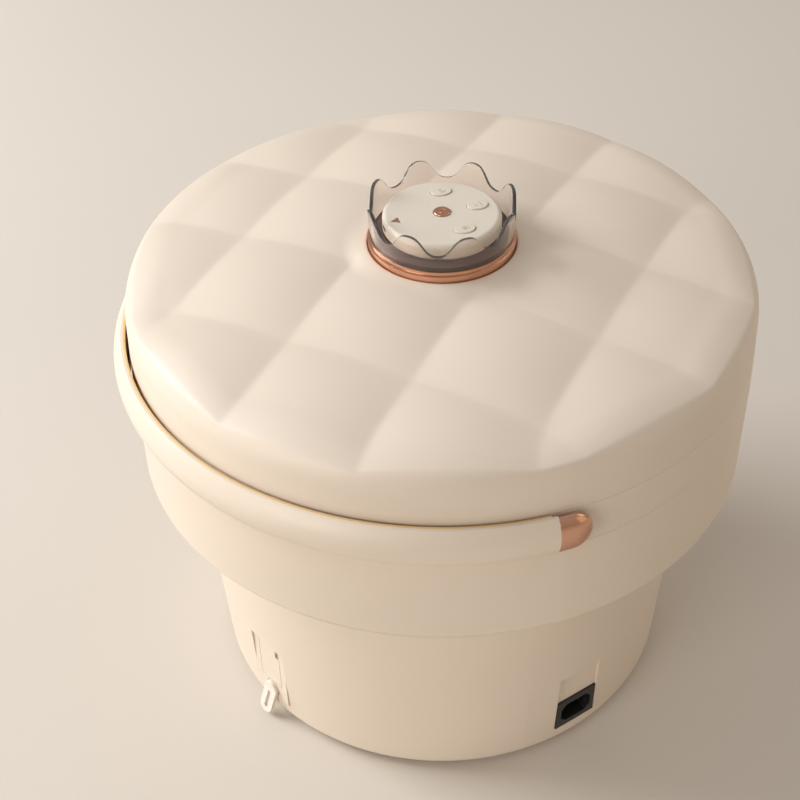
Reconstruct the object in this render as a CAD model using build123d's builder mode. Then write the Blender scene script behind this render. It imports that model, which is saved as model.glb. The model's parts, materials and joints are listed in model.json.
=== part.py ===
from build123d import *
from math import cos, radians, sin, sqrt
import os

# Foot spa basin: a round water tub in a stepped casing, with a quilted lift-off lid,
# a bail handle, a remote control parked in a clear crown on the lid, a mains inlet and a drain.
# Millimetres. +Z is up, the origin is on the floor on the tub's axis,
# and +X runs through the right-hand handle pivot. The bail lies round the -Y side at rest.

# ---- casing -----------------------------------------------------------------------
foot_drop = 2.5            # the feet stand this far below the casing
wall = 2.6                 # casing wall
base_radius = 157.1        # lower casing at its foot
base_round = 8.0
lower_flare = 8.9
lower_top_radius = base_radius + lower_flare  # lower casing under the step
step_height = 176.5        # underside of the wide upper casing
step_width = 30.0
upper_radius = lower_top_radius + step_width
step_round = 5.0
upper_height = 65.5
seam_height = step_height + upper_height  # where the tub's rim skirt meets the casing
seam_gap = 0.3
tongue_height = 20.0       # casing tongue inside the rim skirt
base_flange = 18.0         # inward lip that carries the base plate
plate_thickness = 2.6

# ---- tub --------------------------------------------------------------------------
tub_wall = 2.8
floor_height = 62.0        # inside face of the tub floor
tub_clearance = 15.1       # between the casing's foot and the tub floor, with its wall
floor_radius = base_radius - tub_clearance
ledge_rise = 9.5
ledge_height = step_height + ledge_rise  # inside step of the tub
ledge_inset = 18.0
ledge_inner_radius = lower_top_radius - ledge_inset
ledge_outer_radius = upper_radius - ledge_inset
rim_width = 13.0
mouth_radius = upper_radius - rim_width
rim_skirt = 26.0
rim_height = seam_height + rim_skirt
rim_radius = upper_radius + 0.1  # at the skirt's lower edge
rim_taper = 1.0
rim_top_radius = rim_radius - rim_taper

# ---- handle -----------------------------------------------------------------------
pivot_drop = 11.8
pivot_height = rim_height - pivot_drop
handle_gap = 2.1
band_inner_radius = rim_radius + handle_gap
band_height = 26.8
band_depth = 7.3           # thickness at the crown of the band
band_edge = 1.6            # thickness at its two edges
cap_behind_pivot = 8.2     # how far the metal cap reaches back from the pivot
cap_inset = 0.7            # the cap is this much slimmer than the band all round
pin_radius = 4.0
pin_length = 14.0
cap_bore_depth = 3.4
running_gap = 0.05         # pins in bushes, axles in rollers
bush_wall = 1.5
bush_length = 10.0
washer_radius = 9.0
washer_thickness = 1.2

# ---- lid --------------------------------------------------------------------------
lid_foot_radius = rim_top_radius - 0.1  # at the lid's lower edge
lid_radius = lid_foot_radius - 0.9    # at the shoulder
lid_gap = 0.3              # between the rim and the lid's edge
lid_side = 21.6
shoulder_height = rim_height + lid_side  # where the vertical side ends
lid_round = 28.1
quilt_radius = lid_radius - lid_round  # where the quilted dome begins
edge_rise = 14.9
quilt_edge_height = shoulder_height + edge_rise
dome_rise = 14.1
dome_height = quilt_edge_height + dome_rise
lid_wall = 5.0
quilt_pitch = 78.5         # distance between neighbouring valleys
quilt_depth = 2.8
quilt_half_width = 7.0     # half the width of a valley at the surface
lid_turn = -1.5            # the lid lies turned this much on the tub, in degrees
liner_rise = 4.3
liner_height = rim_height + liner_rise
liner_thickness = 2.6
lip_depth = 10.0           # locating lip that hangs into the tub's mouth
lip_gap = 2.2

# ---- dock on the lid --------------------------------------------------------------
ring_radius = 45.2
ring_proud = 5.4
ring_top = dome_height + ring_proud
ring_step_height = ring_top - 2.6  # where the ring steps in
ring_step = 1.1
ring_sunk = 5.2
ring_seat = dome_height - ring_sunk
seat_clearance = 0.6
ring_inner_radius = ring_radius - 4.6
crown_foot_radius = ring_radius - 2.0
crown_flare = 2.4
crown_lip_radius = crown_foot_radius + crown_flare
crown_wall = 2.2
crown_clearance = 0.3
crown_seat = ring_top - 2.4
crown_height = 25.4
crown_peak = crown_seat + crown_height
lobe_depth = 12.0
crown_valley = crown_peak - lobe_depth
crown_lobes = 8
dock_top = ring_top + 1.7

# ---- remote control ---------------------------------------------------------------
remote_radius = ring_radius - 9.2
remote_round = 3.0
remote_flat_radius = remote_radius - remote_round
dock_gap = 0.3
remote_thickness = 11.5
remote_top_height = dock_top + dock_gap + remote_thickness
remote_split_height = remote_top_height - 7.0
remote_wall = 2.0
button_circle = 22.6
button_angles = (17.5, 90.0, 162.5)
button_length = 13.0
button_width = 9.6
button_proud = 0.8
button_travel = 0.6
button_gap = 0.35
power_radius = 5.2
mark_radius = 3.8
board_radius = remote_radius - 6.0
board_drop = 4.7
board_height = remote_top_height - board_drop
board_thickness = 1.2

# ---- service openings -------------------------------------------------------------
inlet_angle = 14.0
inlet_width = 32.0
inlet_height = 26.0
inlet_bottom = 18.0
drain_angle = -67.3
recess_bottom = 17.0
recess_height = 54.0
recess_width = 32.6
recess_distance = base_radius - 0.2  # flat face of a recess, from the axis
recess_floor = 3.0
socket_width = 24.2
socket_height = 16.4
socket_depth = 17.0
cover_width = 20.6
cover_height = 36.0
cover_bottom = 32.0
cover_gap = 0.4
port_height = 24.0
port_radius = 5.0

# ---- inside the tub and base ------------------------------------------------------
roller_radius = 10.5
roller_length = 42.0
axle_radius = 3.0
roller_lift = 17.0         # roller axis above the tub floor
roller_spacing = 60.0
tray_offset = 48.0
tray_length = 116.0
tray_width = 58.0
tray_thickness = 3.0
screw_radius = 1.6
screw_head_radius = 3.2
screw_head_height = 2.2
pump_radius = 27.0
spigot_radius = 5.0
hose_wall = 2.0

base_height = foot_drop + wall + plate_thickness     # top face of the base plate
os.makedirs("parts", exist_ok=True)


def save(piece, name):
    """Label a finished piece and write it."""
    piece.part.label = name
    export_step(piece.part, f"parts/{name}.step")


def outline(points, plane=Plane.XZ):
    """A closed straight-sided face; on the XZ plane the points are (radius, height)."""
    with BuildSketch(plane) as section:
        with BuildLine():
            Polyline(*points, close=True)
        make_face()
    return section.sketch


def side_plane(angle, distance, height):
    """Upright plane facing outwards: its x runs round the casing and its y is up."""
    out = Vector(cos(radians(angle)), sin(radians(angle)), 0)
    across = Vector(-out.Y, out.X, 0)
    return Plane(origin=out * distance + Vector(0, 0, height), x_dir=across, z_dir=out)


def radial_plane(angle):
    """Upright plane through the axis: its x is the radius at this angle, its y is up."""
    out = Vector(cos(radians(angle)), sin(radians(angle)), 0)
    return Plane(origin=(0, 0, 0), x_dir=out, z_dir=Vector(out.Y, -out.X, 0))


def slab(plane, width, height, depth, mode=Mode.ADD):
    """A box standing on a plane, centred on its origin; a negative depth goes behind it."""
    with BuildSketch(plane) as face:
        Rectangle(width, height)
    extrude(face.sketch, amount=depth, mode=mode)


def rod(plane, radius, depth, mode=Mode.ADD):
    """A round bar standing on a plane."""
    with BuildSketch(plane) as face:
        Circle(radius)
    extrude(face.sketch, amount=depth, mode=mode)


def level(x, y, height):
    """A level plane facing up."""
    return Plane.XY.offset(height).shift_origin((x, y, height))


def on_circle(radius, count, start, height):
    """Level planes spaced evenly round the axis."""
    planes = []
    for i in range(count):
        angle = radians(start + 360 * i / count)
        planes.append(level(radius * cos(angle), radius * sin(angle), height))
    return planes


# ---- casing -----------------------------------------------------------------------
boss_circle = lower_top_radius - 7.5
boss_radius = 4.6
boss_length = 22.0
boss_planes = on_circle(boss_circle, 6, 30, step_height)
plate_radius = base_radius - base_round - wall - 0.5
flange_circle = plate_radius - 2.8
flange_planes = on_circle(flange_circle, 8, 22.5, foot_drop)
foot_circle = flange_circle - 18
foot_radius = 11.0
foot_round = 1.2
pocket_depth = 9.0
pocket_width = recess_width - 5.0
pocket_height = recess_height - 4.0
recess_middle = recess_bottom + recess_height / 2
inlet_middle = inlet_bottom + inlet_height / 2
pocket_wall = 1.8


def make_lower_casing():
    with BuildPart() as lower_casing:
        with BuildSketch(Plane.XZ):
            with BuildLine():
                FilletPolyline(
                    (base_radius - base_flange, foot_drop),
                    (base_radius, foot_drop),
                    (lower_top_radius, step_height),
                    radius=base_round,
                )
                Line((lower_top_radius, step_height), (lower_top_radius - wall, step_height))
                FilletPolyline(
                    (lower_top_radius - wall, step_height),
                    (base_radius - wall, foot_drop + wall),
                    (base_radius - base_flange, foot_drop + wall),
                    radius=base_round - wall,
                )
                Line((base_radius - base_flange, foot_drop + wall), (base_radius - base_flange, foot_drop))
            make_face()
        revolve(axis=Axis.Z)
        for angle in (inlet_angle, drain_angle):
            pad = side_plane(angle, recess_distance + recess_floor, recess_middle)
            slab(pad, recess_width + 4, recess_height + 4, -2 * recess_floor - 2.0)
        for boss in boss_planes:
            rod(boss, boss_radius, -boss_length)
        with BuildSketch(Plane.XZ):
            with BuildLine():
                Polyline(
                    (base_radius, foot_drop),
                    (lower_top_radius, step_height),
                    (lower_top_radius + 9, step_height),
                    (lower_top_radius + 9, foot_drop),
                    close=True,
                )
            make_face()
        revolve(axis=Axis.Z, mode=Mode.SUBTRACT)
        for angle in (inlet_angle, drain_angle):
            face = side_plane(angle, recess_distance, recess_middle)
            slab(face, recess_width, recess_height, 20, Mode.SUBTRACT)
        slab(
            side_plane(inlet_angle, recess_distance, inlet_middle),
            inlet_width - 4, inlet_height - 4, -12, Mode.SUBTRACT,
        )
        slab(
            side_plane(drain_angle, recess_distance, recess_middle),
            pocket_width, pocket_height, -12, Mode.SUBTRACT,
        )
        for boss in boss_planes:
            rod(boss, screw_radius, -boss_length + 4, Mode.SUBTRACT)
        for hole in flange_planes:
            rod(hole, screw_radius, wall, Mode.SUBTRACT)
    save(lower_casing, "lower_casing")


def make_upper_casing():
    top = seam_height - seam_gap
    tongue_outer = upper_radius - wall - 0.2
    tongue_inner = tongue_outer - wall
    collar = boss_circle - boss_radius - 1.0
    floor_top = step_height + wall
    with BuildPart() as upper_casing:
        with BuildSketch(Plane.XZ):
            with BuildLine():
                FilletPolyline(
                    (collar, step_height),
                    (upper_radius + 0.5, step_height),
                    (upper_radius, top),
                    radius=step_round,
                )
                Polyline(
                    (upper_radius, top),
                    (tongue_outer, top),
                    (tongue_outer, top + tongue_height),
                    (tongue_inner, top + tongue_height),
                    (tongue_inner, top - 6),
                    (upper_radius - wall, top - 6 - wall),
                    (upper_radius - wall + 0.4, floor_top),
                    (collar, floor_top),
                    (collar, step_height),
                )
            make_face()
        revolve(axis=Axis.Z)
        for pivot_angle in (0, 180):
            notch = side_plane(pivot_angle, tongue_inner, top + tongue_height / 2)
            slab(notch, 26, tongue_height, wall + 1.0, Mode.SUBTRACT)
            slab(notch, 26, tongue_height, -4.0, Mode.SUBTRACT)
        for boss in boss_planes:
            rod(boss, screw_radius, wall, Mode.SUBTRACT)
    save(upper_casing, "upper_casing")


def screw(plane, length, direction=1):
    """A pan-head screw: the head lies on the plane and the shank runs back through it."""
    rod(plane, screw_head_radius, screw_head_height * direction)
    rod(plane, screw_radius, -length * direction)


def make_base():
    with BuildPart() as base_plate:
        rod(level(0, 0, foot_drop + wall), plate_radius, plate_thickness)
        for hole in flange_planes:
            rod(hole.offset(wall), screw_radius, plate_thickness, Mode.SUBTRACT)
        stand_height = spigot_height - 12 - base_height
        slab(level(*heater_place, base_height), 44, 26, stand_height)
        slab(level(*heater_place, base_height), 36, 18, stand_height, Mode.SUBTRACT)
        for post in board_posts:
            rod(post, 3.4, board_stand)
            rod(post.offset(board_stand), screw_radius, -board_stand, Mode.SUBTRACT)
    save(base_plate, "base_plate")

    with BuildPart() as base_screws:
        for hole in flange_planes:
            rod(hole, screw_radius, wall + plate_thickness)
            rod(hole, screw_head_radius, -1.4)
    save(base_screws, "base_screws")

    with BuildPart() as rubber_feet:
        for foot in on_circle(foot_circle, 6, 0, 0) + [level(0, 0, 0)]:
            with BuildSketch(foot) as pad:
                Circle(foot_radius)
            extrude(pad.sketch, amount=foot_drop + wall)
        fillet(rubber_feet.faces().group_by(Axis.Z)[0].edges(), foot_round)
    save(rubber_feet, "rubber_feet")

    with BuildPart() as collar_screws:
        for boss in boss_planes:
            screw(boss.offset(wall), wall + boss_length - 6)
    save(collar_screws, "collar_screws")


# ---- tub --------------------------------------------------------------------------
grille_radius = 15.0
nozzle_y = floor_radius - 30
nozzle_x = 20.0
bubble_x = -(floor_radius - 44)
drain_hole = side_plane(drain_angle, floor_radius - 30, floor_height - tub_wall)
probe_place = (60.0, 105.0)


def make_inner_tub():
    skirt_inner = rim_radius - wall
    with BuildPart() as inner_tub:
        with BuildSketch(Plane.XZ):
            with BuildLine():
                FilletPolyline(
                    (0, floor_height),
                    (floor_radius, floor_height),
                    (ledge_inner_radius, ledge_height),
                    (ledge_outer_radius, ledge_height),
                    (mouth_radius, rim_height),
                    (rim_top_radius, rim_height),
                    (rim_radius, seam_height),
                    radius=[14, 4, 9, 2.5, 0.6],
                )
                Polyline(
                    (rim_radius, seam_height),
                    (skirt_inner, seam_height),
                    (skirt_inner, rim_height - tub_wall),
                    (mouth_radius + tub_wall - 0.2, rim_height - tub_wall),
                    (ledge_outer_radius + tub_wall, ledge_height - tub_wall),
                    (ledge_inner_radius + tub_wall, ledge_height - tub_wall),
                    (floor_radius + tub_wall, floor_height - tub_wall),
                    (0, floor_height - tub_wall),
                    (0, floor_height),
                )
            make_face()
        revolve(axis=Axis.Z)
        for pivot_angle in (0, 180):
            face = side_plane(pivot_angle, skirt_inner + 0.4, pivot_height)
            slab(face, 23, 21, -(skirt_inner - mouth_radius - 0.5))
            hole = side_plane(pivot_angle, rim_radius + 1, pivot_height)
            rod(hole, pin_radius + running_gap + bush_wall, -bush_length - 1.4, Mode.SUBTRACT)
        rod(level(0, 0, floor_height), 9.0, -tub_wall, Mode.SUBTRACT)
        rod(level(nozzle_x, nozzle_y, floor_height), 7.0, -tub_wall, Mode.SUBTRACT)
        rod(level(bubble_x, 0, floor_height), 4.0, -tub_wall, Mode.SUBTRACT)
        rod(level(*probe_place, floor_height), 4.0, -tub_wall, Mode.SUBTRACT)
        drain_spot = drain_hole.origin
        rod(level(drain_spot.X, drain_spot.Y, floor_height), 8.0, -tub_wall, Mode.SUBTRACT)
    save(inner_tub, "inner_tub")


def make_tub_fittings():
    with BuildPart() as suction_grille:
        rod(level(0, 0, floor_height), grille_radius, 2.4)
        for ring in range(2):
            for i in range(6 * (ring + 1)):
                angle = radians(360 * i / (6 * (ring + 1)))
                x = 4.5 * (ring + 1) * cos(angle)
                y = 4.5 * (ring + 1) * sin(angle)
                rod(level(x, y, floor_height), 1.3, 2.4, Mode.SUBTRACT)
    save(suction_grille, "suction_grille")

    with BuildPart() as jet_nozzle:
        rod(level(nozzle_x, nozzle_y, floor_height - 9), 7.0, 9)
        rod(level(nozzle_x, nozzle_y, floor_height), 11.0, 6)
        fillet(jet_nozzle.faces().sort_by(Axis.Z)[-1].edges(), 2.5)
        rod(level(nozzle_x, nozzle_y, floor_height - 9), 3.4, 15, Mode.SUBTRACT)
    save(jet_nozzle, "jet_nozzle")

    with BuildPart() as bubble_bar:
        slab(level(bubble_x, 0, floor_height), 15, 74, 7)
        fillet(bubble_bar.edges().filter_by(Axis.Z), 6)
        slab(level(bubble_x, 0, floor_height), 9, 66, 4, Mode.SUBTRACT)
        for i in range(7):
            rod(level(bubble_x, 9 * (i - 3), floor_height + 4), 1.0, 3, Mode.SUBTRACT)
    save(bubble_bar, "bubble_bar")

    with BuildPart() as drain_strainer:
        spot = drain_hole.origin
        rod(level(spot.X, spot.Y, floor_height), 12, 2)
        for i in range(6):
            x, y = 5.5 * cos(radians(60 * i)), 5.5 * sin(radians(60 * i))
            rod(level(spot.X + x, spot.Y + y, floor_height), 1.4, 2, Mode.SUBTRACT)
    save(drain_strainer, "drain_strainer")

    with BuildPart() as temperature_probe:
        rod(level(*probe_place, floor_height - 12), 4.0, 12)
        rod(level(*probe_place, floor_height), 3.0, 7)
        fillet(temperature_probe.faces().sort_by(Axis.Z)[-1].edges(), 2)
    save(temperature_probe, "temperature_probe")


# ---- massage rollers --------------------------------------------------------------
axle_height = floor_height + roller_lift


def make_rollers():
    cheek = (tray_width - roller_length - 2.0) / 2
    for side, x_sign in (("right", 1), ("left", -1)):
        x = x_sign * tray_offset
        with BuildPart() as tray:
            slab(level(x, 0, floor_height), tray_width, tray_length, tray_thickness)
            for end in (1, -1):
                cheek_x = x + end * (tray_width - cheek) / 2
                slab(level(cheek_x, 0, floor_height), cheek, tray_length, roller_lift + 5)
                for y in (roller_spacing / 2, -roller_spacing / 2):
                    start = Plane(origin=(cheek_x - cheek / 2, y, axle_height), z_dir=(1, 0, 0))
                    rod(start, axle_radius, cheek, Mode.SUBTRACT)
            fillet(tray.edges().filter_by(Axis.X).group_by(Axis.Z)[-1], 4)
        save(tray, f"roller_tray_{side}")

    with BuildPart() as roller_axles:
        for x_sign in (1, -1):
            for y in (roller_spacing / 2, -roller_spacing / 2):
                start = x_sign * tray_offset - tray_width / 2
                rod(Plane(origin=(start, y, axle_height), z_dir=(1, 0, 0)), axle_radius, tray_width)
    save(roller_axles, "roller_axles")

    number = 0
    for x_sign in (1, -1):
        for y in (roller_spacing / 2, -roller_spacing / 2):
            number += 1
            start = Plane(origin=(x_sign * tray_offset - roller_length / 2, y, axle_height), z_dir=(1, 0, 0))
            with BuildPart() as roller:
                rod(start, roller_radius, roller_length)
                for ring in range(3):
                    for i in range(6):
                        angle = radians(60 * i + 30 * (ring % 2))
                        x = x_sign * tray_offset + (ring - 1) * roller_length * 0.31
                        reach = roller_radius - 0.8
                        with Locations((x, y + reach * cos(angle), axle_height + reach * sin(angle))):
                            Sphere(3.6)
                rod(start, axle_radius + running_gap, roller_length, Mode.SUBTRACT)
            save(roller, f"massage_roller_{number}")


# ---- pump, heater, air pump, electronics --------------------------------------------
volute_bottom = 34.0
volute_top = 54.0
impeller_radius = 18.0
heater_place = (20.0, 80.0)
heater_size = (52.0, 34.0, 24.0)
spigot_height = 44.0
air_size = (40.0, 62.0, 34.0)
board_place = (52.0, -58.0)
board_size = (92.0, 62.0)
board_stand = 8.0
board_post_x = board_size[0] / 2 - 5
board_post_y = board_size[1] / 2 - 5
board_posts = [
    level(board_place[0] + x, board_place[1] + y, base_height)
    for x in (board_post_x, -board_post_x)
    for y in (board_post_y, -board_post_y)
]


def make_water_circuit():
    spigot_start = Plane(origin=(nozzle_x, 10, spigot_height), z_dir=(0, 1, 0))
    heater_front = heater_place[1] - heater_size[1] / 2
    with BuildPart() as pump_housing:
        rod(level(0, 0, volute_bottom), pump_radius, volute_top - volute_bottom)
        rod(level(0, 0, volute_top), 9.0, floor_height - tub_wall - volute_top)
        rod(spigot_start, spigot_radius, 26)
        chamber_height = volute_top - volute_bottom - 8
        rod(level(0, 0, volute_bottom + 4), impeller_radius + 3, chamber_height, Mode.SUBTRACT)
        rod(level(0, 0, volute_top - 4), 6.5, 12, Mode.SUBTRACT)
        rod(spigot_start, spigot_radius - 1.5, 26, Mode.SUBTRACT)
        rod(level(0, 0, volute_bottom), axle_radius + running_gap, 4, Mode.SUBTRACT)
    save(pump_housing, "pump_housing")

    with BuildPart() as pump_motor:
        rod(level(0, 0, base_height), 21.0, volute_bottom - base_height)
        rod(level(0, 0, base_height + 9), axle_radius + running_gap, volute_bottom, Mode.SUBTRACT)
    save(pump_motor, "pump_motor")

    with BuildPart() as pump_impeller:
        rod(level(0, 0, base_height + 10), axle_radius, volute_top - base_height - 18)
        rod(level(0, 0, volute_bottom + 5.5), impeller_radius, 2)
        for i in range(5):
            angle = 72 * i
            blade = side_plane(angle, 4, volute_bottom + 9.5)
            slab(blade, 1.6, 5, impeller_radius - 5)
        rod(level(0, 0, volute_bottom + 5.5), 6, 6.5)
    save(pump_impeller, "pump_impeller")

    with BuildPart() as heater_block:
        slab(level(*heater_place, spigot_height - 12), *heater_size)
        fillet(heater_block.edges().filter_by(Axis.Z), 4)
        inlet = Plane(origin=(nozzle_x, heater_front, spigot_height), z_dir=(0, -1, 0))
        rod(inlet, spigot_radius, 12)
        outlet = Plane(origin=(nozzle_x, heater_front + heater_size[1], spigot_height), z_dir=(0, 1, 0))
        rod(outlet, spigot_radius, 4)
        bore_start = Plane(origin=(nozzle_x, heater_front - 12, spigot_height), z_dir=(0, 1, 0))
        rod(bore_start, spigot_radius - 1.5, heater_size[1] + 16, Mode.SUBTRACT)
    save(heater_block, "heater_block")

    with BuildPart() as thermal_cutout:
        top = level(heater_place[0] - 12, heater_place[1], spigot_height + 12)
        rod(top, 7.0, 3.0)
    save(thermal_cutout, "thermal_cutout")

    with BuildPart() as water_hoses:
        start = Plane(origin=(nozzle_x, heater_front - 12, spigot_height), z_dir=(0, 1, 0))
        rod(start.offset(-14), spigot_radius + hose_wall, 24)
        rod(start.offset(-14), spigot_radius, 24, Mode.SUBTRACT)
        with BuildLine() as route:
            FilletPolyline(
                (nozzle_x, heater_front + heater_size[1] + 4, spigot_height),
                (nozzle_x, nozzle_y, spigot_height),
                (nozzle_x, nozzle_y, floor_height - 9),
                radius=7.5,
            )
        with BuildSketch(Plane(origin=route.line @ 0, z_dir=route.line % 0)):
            Circle(spigot_radius)
            Circle(spigot_radius - 1.5, mode=Mode.SUBTRACT)
        sweep(path=route.line)
    save(water_hoses, "water_hoses")


def make_air_and_electronics():
    with BuildPart() as air_pump:
        slab(level(bubble_x + 2, 0, base_height), *air_size)
        fillet(air_pump.edges().filter_by(Axis.Z), 6)
        for y in (20, -20):
            rod(level(bubble_x + 2, y, base_height + air_size[2]), 7, 3)
    save(air_pump, "air_pump")

    with BuildPart() as air_hose:
        low = base_height + air_size[2]
        rod(level(bubble_x, 0, low), 4.0, floor_height - low)
        rod(level(bubble_x, 0, low), 2.2, floor_height - low, Mode.SUBTRACT)
    save(air_hose, "air_hose")

    board_bottom = base_height + board_stand
    with BuildPart() as control_board:
        slab(level(*board_place, board_bottom), *board_size, 1.6)
        for post in board_posts:
            rod(post.offset(board_stand), screw_radius, 1.6, Mode.SUBTRACT)
    save(control_board, "control_board")

    with BuildPart() as board_screws:
        for post in board_posts:
            screw(post.offset(board_stand + 1.6), 1.6 + 5.0)
    save(board_screws, "board_screws")

    with BuildPart() as board_components:
        top = board_bottom + 1.6
        x, y = board_place
        slab(level(x - 22, y + 6, top), 26, 22, 18)
        slab(level(x + 8, y + 12, top), 19, 15, 15)
        slab(level(x + 8, y - 10, top), 19, 15, 15)
        rod(level(x + 30, y + 2, top), 6, 16)
        rod(level(x + 30, y - 14, top), 4, 11)
        slab(level(x - 20, y - 20, top), 14, 4, 20)
    save(board_components, "board_components")


# ---- mains inlet and drain ------------------------------------------------------------
def make_mains_inlet():
    face = side_plane(inlet_angle, recess_distance, inlet_middle)
    with BuildPart() as mains_inlet:
        slab(face, inlet_width, inlet_height, 1.4)
        fillet(mains_inlet.faces().sort_by(Axis((0, 0, 0), face.z_dir))[-1].edges(), 0.6)
        slab(face, inlet_width - 4.4, inlet_height - 4.4, -socket_depth - 2.0)
        with BuildSketch(face.offset(1.4)) as mouth:
            Rectangle(socket_width, socket_height)
            corners = mouth.vertices().group_by(Axis.Z)[-1]
            chamfer(corners, 4.0)
        extrude(mouth.sketch, amount=-socket_depth, mode=Mode.SUBTRACT)
        socket_end = face.offset(1.4 - socket_depth)
        for x, y in ((-7, -1.5), (7, -1.5), (0, 2.5)):
            blade = socket_end.shift_origin(socket_end.from_local_coords((x, y, 0)))
            slab(blade, 2.0, 4.0, -3.4, Mode.SUBTRACT)
    save(mains_inlet, "mains_inlet")

    with BuildPart() as inlet_contacts:
        floor = face.offset(1.4 - socket_depth - 3.4)
        for x, y in ((-7, -1.5), (7, -1.5), (0, 2.5)):
            blade = floor.shift_origin(floor.from_local_coords((x, y, 0)))
            slab(blade, 2.0, 4.0, 14.0)
            slab(blade, 1.0, 4.0, -5.0)
    save(inlet_contacts, "inlet_contacts")


def make_drain():
    face = side_plane(drain_angle, recess_distance, recess_middle)
    cover_middle = cover_bottom + cover_height / 2
    cover_face = side_plane(drain_angle, recess_distance, cover_middle)
    port = side_plane(drain_angle, recess_distance, port_height)
    with BuildPart() as drain_frame:
        slab(face, recess_width - 0.6, recess_height - 0.6, 1.4)
        slab(face, pocket_width - 0.4, pocket_height - 0.4, -pocket_depth)
        slab(cover_face, cover_width + 2 * cover_gap, cover_height + 2 * cover_gap, 1.4, Mode.SUBTRACT)
        slab(
            cover_face, cover_width + 2 * cover_gap, cover_height + 2 * cover_gap,
            -pocket_depth + pocket_wall, Mode.SUBTRACT,
        )
        rod(port.offset(1.4), port_radius + 1.6, -2.0, Mode.SUBTRACT)
        rod(port, port_radius, -pocket_depth, Mode.SUBTRACT)
    save(drain_frame, "drain_frame")

    with BuildPart() as drain_cover:
        slab(cover_face, cover_width, cover_height, 1.4)
        slab(cover_face, cover_width, cover_height, -1.0)
        corner = (cover_width / 2 - 2.2, cover_height / 2 - 4.4, 0)
        notch = cover_face.shift_origin(cover_face.from_local_coords(corner))
        slab(notch, 3.0, 7.0, 3, Mode.SUBTRACT)
        slab(notch, 3.0, 7.0, -3, Mode.SUBTRACT)
    save(drain_cover, "drain_cover")

    with BuildPart() as drain_pipe:
        spot = drain_hole.origin
        back = side_plane(drain_angle, recess_distance - pocket_depth, port_height)
        with BuildLine() as route:
            FilletPolyline(
                (spot.X, spot.Y, floor_height),
                (spot.X, spot.Y, port_height),
                tuple(back.origin),
                radius=9,
            )
        with BuildSketch(Plane(origin=route.line @ 0, z_dir=route.line % 0)):
            Circle(8.0)
            Circle(port_radius, mode=Mode.SUBTRACT)
        sweep()
    save(drain_pipe, "drain_pipe")

    with BuildPart() as drain_plug:
        rod(port.offset(1.0), port_radius - 0.35, -12)
        rod(port.offset(1.0), port_radius + 1.0, 3.0)
        loop_plane = port.offset(4.0)
        with BuildSketch(loop_plane.rotated((-16, 0, 0)).shift_origin(loop_plane.origin)) as loop:
            with Locations((0, -8.5)):
                SlotOverall(26.0, 11.4, rotation=90)
            with Locations((0, -10.0)):
                SlotOverall(16.0, 3.2, rotation=90, mode=Mode.SUBTRACT)
        extrude(loop.sketch, amount=-2.6)
    save(drain_plug, "drain_plug")


# ---- handle ---------------------------------------------------------------------------
def band_section(plane, inset=0.0):
    """The band's D-shaped section, crowned outwards; an inset makes it that much slimmer."""
    low = pivot_height - band_height / 2 + inset
    high = pivot_height + band_height / 2 - inset
    edge = band_inner_radius + band_edge
    with BuildSketch(plane) as section:
        with BuildLine():
            Polyline((edge, low), (band_inner_radius, low), (band_inner_radius, high), (edge, high))
            ThreePointArc((edge, high), (band_inner_radius + band_depth - inset, pivot_height), (edge, low))
        make_face()
    return section.sketch


def make_handle():
    cap_angle = cap_behind_pivot / band_inner_radius * 57.2958
    tip_angle = 5.0
    with BuildPart() as handle_band:
        revolve(band_section(radial_plane(-180 + cap_angle)), axis=Axis.Z, revolution_arc=180 - 2 * cap_angle)
        fillet(handle_band.edges().filter_by(GeomType.CIRCLE).group_by(SortBy.LENGTH)[-1], 0.6)
    save(handle_band, "handle_band")

    for side, pivot_angle, start in (("right", 0, -cap_angle), ("left", 180, -180 - tip_angle)):
        with BuildPart() as end_cap:
            section = band_section(radial_plane(start), cap_inset)
            revolve(section, axis=Axis.Z, revolution_arc=cap_angle + tip_angle)
            with BuildSketch(side_plane(pivot_angle, 0, pivot_height)) as tip:
                Circle(band_height / 2 - cap_inset)
                with Locations((-20 * cos(radians(pivot_angle)), 0)):
                    Rectangle(40, band_height)
            extrude(tip.sketch, amount=band_inner_radius + band_depth + 5, mode=Mode.INTERSECT)
            bore = side_plane(pivot_angle, band_inner_radius, pivot_height)
            rod(bore.offset(-1), pin_radius, cap_bore_depth + 1, Mode.SUBTRACT)
        save(end_cap, f"end_cap_{side}")

    with BuildPart() as pivot_pins:
        for pivot_angle in (0, 180):
            start = side_plane(pivot_angle, band_inner_radius + cap_bore_depth, pivot_height)
            rod(start, pin_radius, -pin_length)
    save(pivot_pins, "pivot_pins")

    with BuildPart() as pivot_bushes:
        for pivot_angle in (0, 180):
            start = side_plane(pivot_angle, rim_radius - 0.4, pivot_height)
            rod(start, pin_radius + running_gap + bush_wall, -bush_length)
            rod(start, pin_radius + running_gap, -bush_length, Mode.SUBTRACT)
    save(pivot_bushes, "pivot_bushes")

    with BuildPart() as pivot_washers:
        for pivot_angle in (0, 180):
            start = side_plane(pivot_angle, rim_radius + 0.2, pivot_height)
            rod(start, washer_radius, washer_thickness)
            rod(start, pin_radius + 0.3, washer_thickness, Mode.SUBTRACT)
    save(pivot_washers, "pivot_washers")


# ---- lid --------------------------------------------------------------------------------
lid_bottom = rim_height + lid_gap
dome_slope = 2 * (dome_height - quilt_edge_height) / quilt_radius
lid_boss_circle = quilt_radius - 26
lid_boss_radius = 4.5
lid_bosses = on_circle(lid_boss_circle, 6, 15, liner_height)
dock_boss_radius = ring_radius + 8
dock_foot_radius = ring_radius - 9.2
dock_foot_depth = 8.0


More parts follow.
